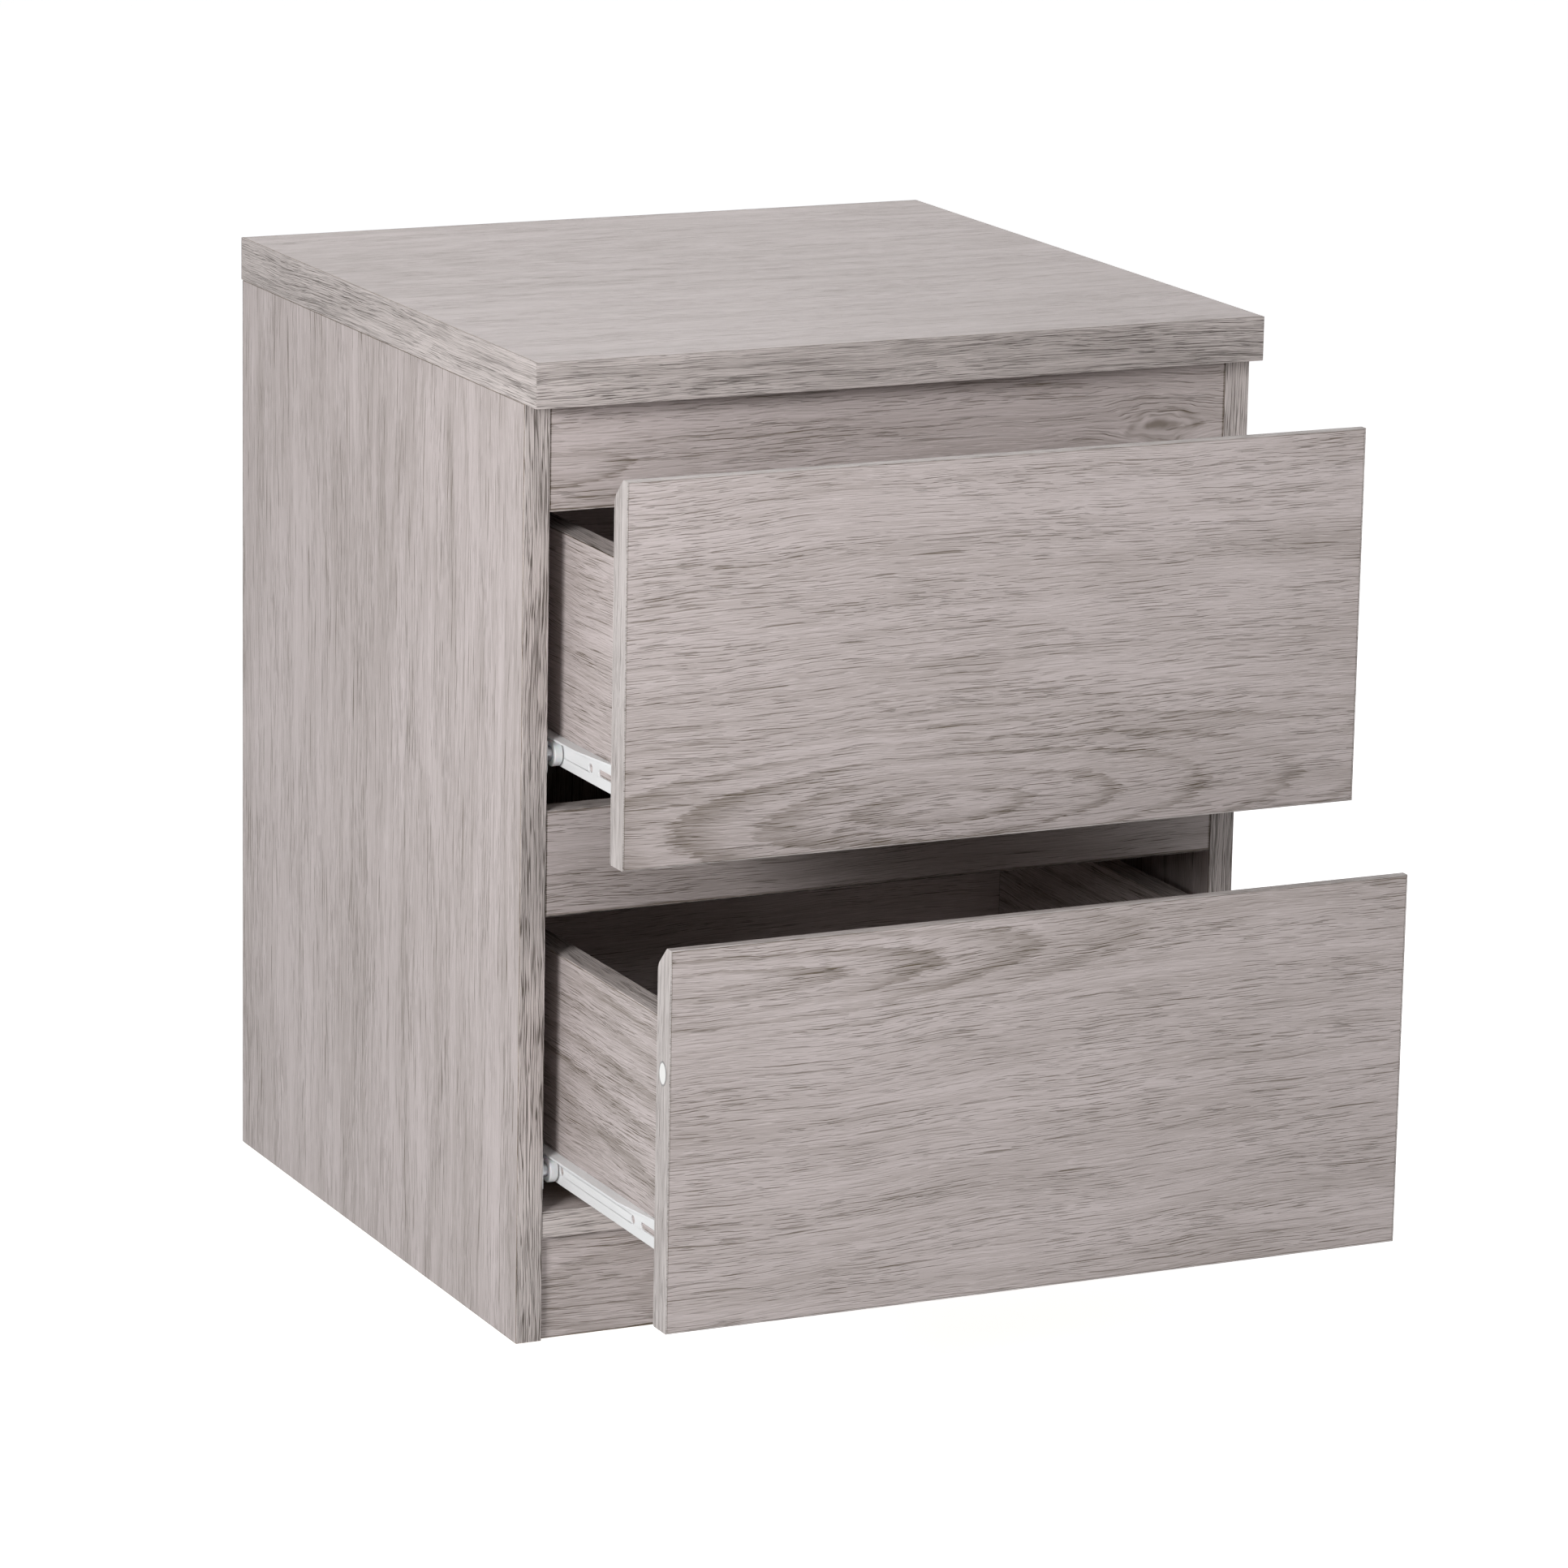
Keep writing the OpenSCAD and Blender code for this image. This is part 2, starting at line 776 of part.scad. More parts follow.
module upper_drawer_right_side() {
  color(oak) in_upper_drawer() on_right() drawer_side();
}

module upper_drawer_back() {
  color(oak) in_upper_drawer() drawer_back();
}

module upper_drawer_bottom() {
  color(board_brown) in_upper_drawer() drawer_bottom();
}

module upper_box_edge_bands() {
  color(oak_edge) in_upper_drawer() box_edge_bands();
}

module upper_left_runner() {
  color(white_steel) in_upper_drawer() in_slide() runner();
}

module upper_right_runner() {
  color(white_steel) in_upper_drawer() in_slide() on_right() runner();
}

module upper_runner_screws() {
  color(zinc) in_upper_drawer() in_slide() both_sides() at_runner_screws() screw(screw_len);
}

module upper_runner_axles() {
  color(zinc) in_upper_drawer() in_slide() both_sides() runner_axle();
}

module upper_left_rear_roller() {
  color(white_nylon) in_upper_drawer() in_slide() rear_roller();
}

module upper_right_rear_roller() {
  color(white_nylon) in_upper_drawer() in_slide() on_right() rear_roller();
}

module upper_drawer_cam_bolts() {
  color(zinc) in_upper_drawer() both_sides() at_front_joints() cam_bolt();
}

module upper_drawer_cam_discs() {
  color(zinc) in_upper_drawer() both_sides() at_front_joints() cam_disc();
}

module upper_drawer_back_screws() {
  color(zinc) in_upper_drawer() both_sides() at_back_screws() end_screw();
}

module lower_drawer_front() {
  color(oak) in_lower_drawer() drawer_front();
}

module lower_front_edge_bands() {
  color(pale_edge) in_lower_drawer() front_edge_bands();
}

module lower_drawer_left_side() {
  color(oak) in_lower_drawer() drawer_side();
}

module lower_drawer_right_side() {
  color(oak) in_lower_drawer() on_right() drawer_side();
}

module lower_drawer_back() {
  color(oak) in_lower_drawer() drawer_back();
}

module lower_drawer_bottom() {
  color(board_brown) in_lower_drawer() drawer_bottom();
}

module lower_box_edge_bands() {
  color(oak_edge) in_lower_drawer() box_edge_bands();
}

module lower_left_runner() {
  color(white_steel) in_lower_drawer() in_slide() runner();
}

module lower_right_runner() {
  color(white_steel) in_lower_drawer() in_slide() on_right() runner();
}

module lower_runner_screws() {
  color(zinc) in_lower_drawer() in_slide() both_sides() at_runner_screws() screw(screw_len);
}

module lower_runner_axles() {
  color(zinc) in_lower_drawer() in_slide() both_sides() runner_axle();
}

module lower_left_rear_roller() {
  color(white_nylon) in_lower_drawer() in_slide() rear_roller();
}

module lower_right_rear_roller() {
  color(white_nylon) in_lower_drawer() in_slide() on_right() rear_roller();
}

module lower_drawer_cam_bolts() {
  color(zinc) in_lower_drawer() both_sides() at_front_joints() cam_bolt();
}

module lower_drawer_cam_discs() {
  color(zinc) in_lower_drawer() both_sides() at_front_joints() cam_disc();
}

module lower_drawer_back_screws() {
  color(zinc) in_lower_drawer() both_sides() at_back_screws() end_screw();
}

// on the lower front's left end
module front_sticker() {
  color("white") in_lower_drawer()
    translate([-front_w / 2 - sticker_t, -front_t / 2, sticker_rise])
      rotate([90, 0, 90]) linear_extrude(sticker_t)
        polygon([for (a = [0:15:345]) [cos(a) * sticker_w / 2, sin(a) * sticker_h / 2]]);
}

top_panel();
top_edge_bands();
left_side_panel();
right_side_panel();
side_edge_bands();
upper_rail();
middle_rail();
rail_edge_bands();
bottom_panel();
bottom_edge_band();
plinth();
back_panel();
back_panel_nails();
cabinet_cam_bolts();
cabinet_cam_discs();
cabinet_dowels();
upper_left_channel();
upper_right_channel();
lower_left_channel();
lower_right_channel();
channel_screws();
channel_axles();
upper_left_roller();
upper_right_roller();
lower_left_roller();
lower_right_roller();
upper_drawer_front();
upper_front_edge_bands();
upper_drawer_left_side();
upper_drawer_right_side();
upper_drawer_back();
upper_drawer_bottom();
upper_box_edge_bands();
upper_left_runner();
upper_right_runner();
upper_runner_screws();
upper_runner_axles();
upper_left_rear_roller();
upper_right_rear_roller();
upper_drawer_cam_bolts();
upper_drawer_cam_discs();
upper_drawer_back_screws();
lower_drawer_front();
lower_front_edge_bands();
lower_drawer_left_side();
lower_drawer_right_side();
lower_drawer_back();
lower_drawer_bottom();
lower_box_edge_bands();
lower_left_runner();
lower_right_runner();
lower_runner_screws();
lower_runner_axles();
lower_left_rear_roller();
lower_right_rear_roller();
lower_drawer_cam_bolts();
lower_drawer_cam_discs();
lower_drawer_back_screws();
front_sticker();
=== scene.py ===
import math

import bpy
from mathutils import Matrix, Vector


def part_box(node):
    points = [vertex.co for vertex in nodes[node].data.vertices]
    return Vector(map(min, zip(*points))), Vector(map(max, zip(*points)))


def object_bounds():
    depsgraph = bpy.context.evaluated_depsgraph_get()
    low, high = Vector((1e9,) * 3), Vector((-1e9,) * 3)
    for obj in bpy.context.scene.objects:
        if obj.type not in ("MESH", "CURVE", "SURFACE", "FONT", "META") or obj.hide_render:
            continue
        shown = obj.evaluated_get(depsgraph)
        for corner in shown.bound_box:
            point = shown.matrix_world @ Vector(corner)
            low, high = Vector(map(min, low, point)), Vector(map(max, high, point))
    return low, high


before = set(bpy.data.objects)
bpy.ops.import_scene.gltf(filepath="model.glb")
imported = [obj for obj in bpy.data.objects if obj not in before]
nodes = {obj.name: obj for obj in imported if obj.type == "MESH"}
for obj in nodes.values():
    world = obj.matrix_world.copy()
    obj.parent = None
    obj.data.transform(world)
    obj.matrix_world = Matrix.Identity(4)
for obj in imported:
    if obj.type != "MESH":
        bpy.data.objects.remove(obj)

# Looks, light and camera of a nightstand with two drawers. The CAD nodes keep their places and meshes:
# they get materials and, by modifiers, soft edges. Metres, degrees and linear colours throughout.

cad_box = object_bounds()

# ---- camera ----
AIM = Vector((0.0337, 0.0903, 0.2488))
CAMERA_AZIMUTH = -25.449
CAMERA_ELEVATION = 13.655
CAMERA_DISTANCE = 4.0827
CAMERA_ROLL = 1.068
CAMERA_REACH = 100
SENSOR_WIDTH = 36
LENS = 160.97

# ---- soft boxes: azimuth, elevation, distance, side, power ----
SOFT_BOXES = {
    "key": (-56, 20, 1.8, 0.5, 21),
    "front": (0, 35, 2.2, 1.2, 9),
    "back": (180, 60, 2.0, 1.8, 22),
}

# ---- world: dim above and bright below, where the white floor would throw light back ----
# the pairs are heights of the direction looked in, from -1 straight down to 1 straight up
WORLD_ABOVE = 0.09
ABOVE_RISES = (-0.05, 0.30)
WORLD_BELOW = 0.93
BELOW_FADES = (-0.30, 0.05)
BACKDROP = 0.75              # seen only in glossy reflections
BACKDROP_RISES = (0.0, 0.10)

# ---- colours ----
WHITE = (1.0, 1.0, 1.0)
OAK_LIGHT = (0.594, 0.525, 0.517)
OAK_DARK = (0.126, 0.097, 0.066)
BAND_LIGHT = (0.625, 0.563, 0.545)
BAND_DARK = (0.080, 0.064, 0.052)
END_LIGHT = (0.560, 0.515, 0.500)
END_DARK = (0.240, 0.208, 0.195)
CHIP_LIGHT = (0.440, 0.330, 0.215)
CHIP_DARK = (0.170, 0.110, 0.062)
HARDBOARD_LIGHT = (0.225, 0.142, 0.080)
HARDBOARD_DARK = (0.140, 0.086, 0.046)
STEEL_WHITE = (0.800, 0.805, 0.810)
NYLON_WHITE = (0.720, 0.725, 0.730)
ZINC = (0.620, 0.630, 0.650)
BEECH_LIGHT = (0.620, 0.430, 0.260)
BEECH_DARK = (0.430, 0.270, 0.140)
PAPER = (0.820, 0.815, 0.800)
RIM_GREY = (0.30, 0.29, 0.29)
FLOOR_WHITE = (0.900, 0.900, 0.905)
FLOOR_GLOW = 0.90

# ---- sizes ----
SEAM_WIDTH = 0.0004          # dark line between a board and its edge bands
RAIL_SEAM_AND_SHADE = 0.0012           # wider where a rail or the plinth meets the side panels: the joint line plus painted shade of the recess
# darkness of the seam lines and of the painted shade along the rails and the plinth
SEAM_AND_SHADE_DEPTH = 0.5
PORE_TO_HIGHLIGHT = 0.0005            # from a pore to the painted highlight beside it, where its pressed-in edge would catch the light
BOARD_EDGE = 0.0004          # radius of the softened edges
STEEL_EDGE = 0.0002
WELD_GAP = 0.000002
SHARP_ANGLE = 50
FLOOR_REACH = 30.0
FLOOR_DROP = 0.0005

# ---- oak print ----
# inputs of the node group and what they are when a board doesn't set them
PRINT_INPUTS = {
    "Along": 0.0,            # metres along the grain
    "Across": 0.0,           # metres across it
    "Seed": 0.0,
    "Loop along": 0.0,       # middle of the cathedral loops
    "Loop across": 0.0,
    "Ring length": 0.060,    # from one loop to the next, along the grain
    "Ring height": 0.010,    # and across it
    "Ring depth": 0.22,      # how dark the year rings are
    "Ring reach": 14.0,      # how many of them show
    "Dark end": -1.0,        # -1 fills the low ends of the loops, 1 the high ends
    "Pore depth": 0.50,
    "Crack depth": 0.50,
    "Streak depth": 0.55,
    "Rope depth": 0.10,      # coarse dark strands
    "Knot along": 0.0,
    "Knot across": 0.0,
    "Knot depth": 0.0,
}

# layers of noise: features per metre along and across the grain, shift of the seed, detail
LAYERS = {
    "wander": (2.5, 6, 1, 2.0),      # slow bends of the grain
    "ripple": (14, 40, 2, 2.0),      # quick ones
    "ragged": (60, 900, 3, 2.0),     # broken edges of the year rings
    "uneven": (5, 18, 4, 2.0),       # rings closer together and further apart
    "patches": (5, 22, 5, 2.0),      # where rings are printed
    "clusters": (8, 70, 6, 2.0),     # where pores crowd together
    "pores": (52, 1450, 7, 2.0),
    "cracks": (18, 820, 8, 3.0),
    "flecks": (85, 1300, 9, 1.0),    # small light marks
    "fibres": (13, 1900, 10, 3.0),
    "tone": (6, 26, 11, 2.0),        # broad light and dark
    "bands": (3.5, 110, 12, 3.0),    # light and dark along the grain
    "strands": (17, 620, 13, 1.5),
    "burl": (42, 110, 18, 2.0),      # uneven outline of the knot
}

# how far a layer swings about 0
SWINGS = {"wander": 0.022, "ripple": 0.005, "ragged": 0.7, "uneven": 1.1, "fibres": 1.3,
          "tone": 0.9, "bands": 0.9, "strands": 1.0, "burl": 2.2}

# the noise at which a mark begins and at which it is full
MARKS = {"patches": (0.25, 0.50), "clusters": (0.38, 0.62), "pores": (0.570, 0.620),
         "cracks": (0.635, 0.675), "flecks": (0.60, 0.68)}

BASE_DARKNESS = 0.17
LONE_PORE = 0.3              # depth of a pore away from the clusters
FLECK_DEPTH = -0.18
# painted highlight beside each pore: lightens the print as if light caught the pore's edge
PORE_HIGHLIGHT_DEPTH = -0.35
ROPE_EDGE = (0.012, 0.055)   # half width of a strand, in noise
FIBRE_HEIGHT = 0.3
RING_SHIFT = -0.15
RING_LINE = 0.62             # a ring is dark from this share of its width
RING_FILL = 0.45             # less this at the dark end
RING_END = 0.95
DARK_END_FROM = -0.25        # share of the loop's length at which the fill begins
RING_FADE_FROM = 0.25        # share of the reach at which the rings start to fade
KNOT_LENGTH = 0.013
KNOT_HEIGHT = 0.0055
KNOT_BEND = 6.0              # the grain bends out to this many knots away
KNOT_MIDDLE = (0.1, 0.9)
KNOT_MIDDLE_DEPTH = 0.7
KNOT_RING = 1.5
KNOT_RING_WIDTH = 0.5
KNOT_RING_DEPTH = 0.28

# ---- edge bands: for each way a face can look, the axes along and across its grain ----
TOP_RUNS = {"Y": "XZ", "X": "YZ", "Z": "XY"}
SIDE_RUNS = {"Y": "ZX", "X": "ZY"}
FRONT_RUNS = {"Y": "XZ", "X": "ZY", "Z": "XY"}
BOX_RUNS = {"Y": "XZ", "X": "YZ", "Z": "YX"}


# ---- shader helpers ----

def plug(tree, value, socket):
    """Feeds a socket from another socket or sets it to a number."""
    if isinstance(value, bpy.types.NodeSocket):
        tree.links.new(value, socket)
    else:
        socket.default_value = value


def calc(tree, operation, *values):
    node = tree.nodes.new("ShaderNodeMath")
    node.operation = operation
    for value, socket in zip(values, node.inputs):
        plug(tree, value, socket)
    return node.outputs[0]


def total(tree, *values):
    """Sum of several values."""
    result = values[0]
    for value in values[1:]:
        result = calc(tree, "ADD", result, value)
    return result


def product(tree, *values):
    result = values[0]
    for value in values[1:]:
        result = calc(tree, "MULTIPLY", result, value)
    return result


def rise(tree, value, low, high, top=1.0):
    """0 up to low, then a smooth rise to top at high."""
    node = tree.nodes.new("ShaderNodeMapRange")
    node.interpolation_type = "SMOOTHSTEP"
    for name, number in (("Value", value), ("From Min", low), ("From Max", high), ("To Max", top)):
        plug(tree, number, node.inputs[name])
    return node.outputs["Result"]


def fall(tree, value, low, high):
    """1 up to low, then a smooth fall to 0 at high."""
    return calc(tree, "SUBTRACT", 1.0, rise(tree, value, low, high))


def point(tree, x, y, z):
    node = tree.nodes.new("ShaderNodeCombineXYZ")
    for value, socket in zip((x, y, z), node.inputs):
        plug(tree, value, socket)
    return node.outputs[0]


def noise(tree, place, detail=2.0, roughness=0.5, scale=1.0):
    """Fractal noise between 0 and 1, with its middle at 0.5."""
    node = tree.nodes.new("ShaderNodeTexNoise")
    tree.links.new(place, node.inputs["Vector"])
    node.inputs["Scale"].default_value = scale
    node.inputs["Detail"].default_value = detail
    node.inputs["Roughness"].default_value = roughness
    return node.outputs[0]


def grain_noise(tree, along, across, seed, lengthwise, crosswise, detail):
    """Noise drawn out along the grain; lengthwise and crosswise are features per metre."""
    place = point(tree, calc(tree, "MULTIPLY", along, lengthwise),
                  calc(tree, "MULTIPLY", across, crosswise), seed)
    return noise(tree, place, detail)


def centred(tree, value, size):
    """Turns noise about 0.5 into noise about 0, of the given size."""
    return calc(tree, "MULTIPLY", calc(tree, "SUBTRACT", value, 0.5), size)


def blend(tree, factor, first, second):
    """Mixes two colours."""
    node = tree.nodes.new("ShaderNodeMix")
    node.data_type = "RGBA"
    colours = [socket for socket in node.inputs if socket.type == "RGBA"]
    plug(tree, factor, node.inputs[0])
    for value, socket in zip((first, second), colours):
        plug(tree, (*value, 1.0) if isinstance(value, tuple) else value, socket)
    return node.outputs[2]


def choose(tree, factor, first, second):
    """Mixes two numbers."""
    node = tree.nodes.new("ShaderNodeMix")
    for value, socket in zip((factor, first, second), (node.inputs[0], node.inputs[2], node.inputs[3])):
        plug(tree, value, socket)
    return node.outputs[0]


def shaded(colour, share):
    """A colour darkened to a share of itself."""
    return tuple(share * part for part in colour)


def bump(tree, height, distance):
    node = tree.nodes.new("ShaderNodeBump")
    node.inputs["Distance"].default_value = distance
    tree.links.new(height, node.inputs["Height"])
    return node.outputs[0]


def new_material(name):
    """A new material, with its tree, its shader and its object coordinates."""
    material = bpy.data.materials.new(name)
    material.use_nodes = True
    tree = material.node_tree
    shader = tree.nodes["Principled BSDF"]
    coordinates = tree.nodes.new("ShaderNodeTexCoord")
    return material, tree, shader, coordinates.outputs["Object"]


def axes(tree, place):
    node = tree.nodes.new("ShaderNodeSeparateXYZ")
    tree.links.new(place, node.inputs[0])
    return dict(zip("XYZ", node.outputs))


def facing(tree, axis, sign=None):
    """1 on faces square to the axis, 0 on the others; with a sign, only on those that look its way."""
    geometry = tree.nodes.new("ShaderNodeNewGeometry")
    part = axes(tree, geometry.outputs["Normal"])[axis]
    if sign is None:
        towards = calc(tree, "ABSOLUTE", part)
    else:
        towards = calc(tree, "MULTIPLY", part, sign)
    return calc(tree, "GREATER_THAN", towards, 0.6)


def distance(tree, along, across, middle_along, middle_across, length, height):
    """Distance from a middle, in steps of length along the grain and height across it."""
    squares = []
    for place, middle, step in ((along, middle_along, length), (across, middle_across, height)):
        off = calc(tree, "DIVIDE", calc(tree, "SUBTRACT", place, middle), step)
        squares.append(calc(tree, "MULTIPLY", off, off))
    return calc(tree, "SQRT", total(tree, *squares))


# ---- oak print ----

def layer(tree, given, name, across=None):
    """A layer of noise; across takes the place of the plain distance across the grain."""
    lengthwise, crosswise, shift, detail = LAYERS[name]
    if across is None:
        across = given["Across"]
    seed = calc(tree, "ADD", given["Seed"], shift)
    return grain_noise(tree, given["Along"], across, seed, lengthwise, crosswise, detail)


def swing(tree, given, name, across=None):
    """A layer that swings about 0."""
    return centred(tree, layer(tree, given, name, across), SWINGS[name])


def marks(tree, given, name, across=None):
    """A layer that is 0 but for separate marks."""
    return rise(tree, layer(tree, given, name, across), *MARKS[name])


def knot_distance(tree, given, across):
    """Distance from the knot, in knots."""
    radius = distance(tree, given["Along"], across, given["Knot along"], given["Knot across"],
                      KNOT_LENGTH, KNOT_HEIGHT)
    return calc(tree, "ADD", radius, swing(tree, given, "burl"))


def knot(tree, eye):
    """Darkness of the eye of a knot and of the ring round it."""
    middle = fall(tree, eye, *KNOT_MIDDLE)
    off_ring = calc(tree, "ABSOLUTE", calc(tree, "SUBTRACT", eye, KNOT_RING))
    ring = fall(tree, off_ring, 0.0, KNOT_RING_WIDTH)
    return total(tree, calc(tree, "MULTIPLY", middle, KNOT_MIDDLE_DEPTH),
                 calc(tree, "MULTIPLY", ring, KNOT_RING_DEPTH))


def round_the_knot(tree, given, across, eye):
    """The grain bends round the knot: less of it passes through the eye."""
    near = fall(tree, eye, 0.0, KNOT_BEND)
    weight = product(tree, near, near, given["Knot depth"])
    off = calc(tree, "SUBTRACT", across, given["Knot across"])
    return calc(tree, "SUBTRACT", across, calc(tree, "MULTIPLY", off, weight))


def ring_start(tree, given, radius):
    """Share of a ring's width from which it is dark: less of it at the dark end of the loops."""
    off = calc(tree, "DIVIDE", calc(tree, "SUBTRACT", given["Along"], given["Loop along"]),
               calc(tree, "MULTIPLY", radius, given["Ring length"]))
    towards = calc(tree, "MAXIMUM", calc(tree, "MULTIPLY", off, given["Dark end"]), DARK_END_FROM)
    return calc(tree, "SUBTRACT", RING_LINE, rise(tree, towards, DARK_END_FROM, 1.0, RING_FILL))


def ring_darkness(tree, given, across):
    """Year rings: nested loops about one point, which run out into lines along the grain."""
    radius = distance(tree, given["Along"], across, given["Loop along"], given["Loop across"],
                      given["Ring length"], given["Ring height"])
    part = calc(tree, "FRACT", total(tree, radius, swing(tree, given, "ragged"),
                                     swing(tree, given, "uneven"), RING_SHIFT))
    shade = calc(tree, "SUBTRACT", rise(tree, part, ring_start(tree, given, radius), RING_END),
                 rise(tree, part, RING_END, 1.0))
    reached = calc(tree, "DIVIDE", radius, given["Ring reach"])
    fade = fall(tree, reached, RING_FADE_FROM, 1.0)
    return product(tree, shade, fade, marks(tree, given, "patches"))


def pore_marks(tree, given, across):
    """Pores, thinner away from the clusters, and painted highlights beside them, where their pressed-in
    edges would catch the light.
    """
    crowding = calc(tree, "MULTIPLY_ADD", marks(tree, given, "clusters"), 1.0 - LONE_PORE, LONE_PORE)
    pores = calc(tree, "MULTIPLY", marks(tree, given, "pores", across), crowding)
    # painted highlights: the pores again, shifted across the grain
    pore_highlights = marks(tree, given, "pores", calc(tree, "ADD", across, PORE_TO_HIGHLIGHT))
    return pores, pore_highlights


def group_with_sockets():
    """An empty node group with the sockets of the print."""
    tree = bpy.data.node_groups.new("oak print", "ShaderNodeTree")
    for name, value in PRINT_INPUTS.items():
        socket = tree.interface.new_socket(name, in_out="INPUT", socket_type="NodeSocketFloat")
        socket.default_value = value
    for name in ("Darkness", "Height", "Pores"):
        tree.interface.new_socket(name, in_out="OUTPUT", socket_type="NodeSocketFloat")
    return tree, tree.nodes.new("NodeGroupInput").outputs


def oak_print():
    """Node group: printed oak. Gives darkness from 0, height and how open the pores are."""
    tree, given = group_with_sockets()
    across = total(tree, given["Across"], swing(tree, given, "wander"), swing(tree, given, "ripple"))
    eye = knot_distance(tree, given, across)
    across = round_the_knot(tree, given, across, eye)
    pores, pore_highlights = pore_marks(tree, given, across)
    cracks = marks(tree, given, "cracks", across)
    strands = calc(tree, "ABSOLUTE", swing(tree, given, "strands", across))
    fibres = swing(tree, given, "fibres", across)
    streaks = total(tree, fibres, swing(tree, given, "bands", across),
                    swing(tree, given, "tone", across))

    parts = [BASE_DARKNESS]
    for value, depth in ((ring_darkness(tree, given, across), "Ring depth"), (pores, "Pore depth"),
                         (cracks, "Crack depth"), (streaks, "Streak depth"),
                         (fall(tree, strands, *ROPE_EDGE), "Rope depth"),
                         (knot(tree, eye), "Knot depth")):
        parts.append(calc(tree, "MULTIPLY", value, given[depth]))
    parts.append(calc(tree, "MULTIPLY", marks(tree, given, "flecks", across), FLECK_DEPTH))
    # painted highlight on the lit side of each pore
    parts.append(product(tree, pore_highlights, given["Pore depth"], PORE_HIGHLIGHT_DEPTH))
    opened = calc(tree, "MAXIMUM", pores, cracks)
    height = calc(tree, "SUBTRACT", calc(tree, "MULTIPLY", fibres, FIBRE_HEIGHT), opened)

    out = tree.nodes.new("NodeGroupOutput")
    for name, value in (("Darkness", total(tree, *parts)), ("Height", height), ("Pores", opened)):
        tree.links.new(value, out.inputs[name])
    return tree


def add_print(tree, along, across, seed, settings):
    """The oak print in a material; ring_depth=... in the settings sets "Ring depth"."""
    node = tree.nodes.new("ShaderNodeGroup")
    node.node_tree = OAK_PRINT
    plug(tree, along, node.inputs["Along"])
    plug(tree, across, node.inputs["Across"])
    node.inputs["Seed"].default_value = seed
    for name, value in settings.items():
        node.inputs[name.replace("_", " ").capitalize()].default_value = value
    return node


def finish_print(tree, shader, grain, roughness, depth):
    """Satin melamine: pores are duller and pressed in."""
    dull = calc(tree, "MULTIPLY_ADD", grain.outputs["Pores"], 0.2, roughness)
    tree.links.new(dull, shader.inputs["Roughness"])
    tree.links.new(bump(tree, grain.outputs["Height"], depth), shader.inputs["Normal"])
    shader.inputs["Specular IOR Level"].default_value = 0.4


# ---- board materials ----

def chipboard(tree, place):
    """Colour of a bare board edge: pressed chips."""
    chips = tree.nodes.new("ShaderNodeTexVoronoi")
    chips.inputs["Scale"].default_value = 420
    chips.inputs["Randomness"].default_value = 1.0
    tree.links.new(place, chips.inputs["Vector"])
    parts = axes(tree, chips.outputs["Color"])
    return blend(tree, parts["X"], CHIP_LIGHT, CHIP_DARK)


def seam_and_shade_line(tree, parts, node, across_axes, width):
    """1 on the thin dark line where a board meets its edge bands, 0 elsewhere; at the wider rail width
    it is also painted shade of the recess.
    """
    low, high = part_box(node)
    gaps = []
    for axis in across_axes:
        index = "XYZ".index(axis)
        gaps.append(calc(tree, "SUBTRACT", parts[axis], low[index]))
        gaps.append(calc(tree, "SUBTRACT", high[index], parts[axis]))
    nearest = gaps[0]
    for gap in gaps[1:]:
        nearest = calc(tree, "MINIMUM", nearest, gap)
    return fall(tree, nearest, width / 2, width)


def laminate(node, along, across, seed, seam_and_shade_width=SEAM_WIDTH, **settings):
    """Board with oak print on its broad faces and bare chipboard on its edges."""
    material, tree, shader, place = new_material(node.replace("_", " ") + " print")
    parts = axes(tree, place)
    grain = add_print(tree, parts[along], parts[across], seed, settings)
    # dark line along the edges: the joint with the edge bands, and on the rails and the plinth also
    # painted shade of the recess
    seam_and_shade = seam_and_shade_line(tree, parts, node, (along, across), seam_and_shade_width)
    darkness = calc(tree, "MULTIPLY_ADD", seam_and_shade, SEAM_AND_SHADE_DEPTH, grain.outputs["Darkness"])
    printed = blend(tree, darkness, OAK_LIGHT, OAK_DARK)
    broad = facing(tree, next(axis for axis in "XYZ" if axis not in (along, across)))
    tree.links.new(blend(tree, broad, chipboard(tree, place), printed), shader.inputs["Base Color"])
    finish_print(tree, shader, grain, roughness=0.40, depth=0.00018)
    dress(material, node)


def edge_band(name, runs, seed, light=BAND_LIGHT, dark=BAND_DARK, squeeze=1.0, **settings):
    """Edge band, with its grain along each edge; squeeze makes the grain finer."""
    material, tree, shader, place = new_material(name)
    parts = axes(tree, place)
    along, across = parts[runs["Y"][0]], parts[runs["Y"][1]]
    for axis in ("X", "Z"):
        if axis in runs:
            turned = facing(tree, axis)
            along = choose(tree, turned, along, parts[runs[axis][0]])
            across = choose(tree, turned, across, parts[runs[axis][1]])
    across = calc(tree, "MULTIPLY", across, squeeze)
    grain = add_print(tree, along, across, seed, settings)
    colour = blend(tree, grain.outputs["Darkness"], light, dark)
    tree.links.new(colour, shader.inputs["Base Color"])
    finish_print(tree, shader, grain, roughness=0.42, depth=0.00022)
    return material


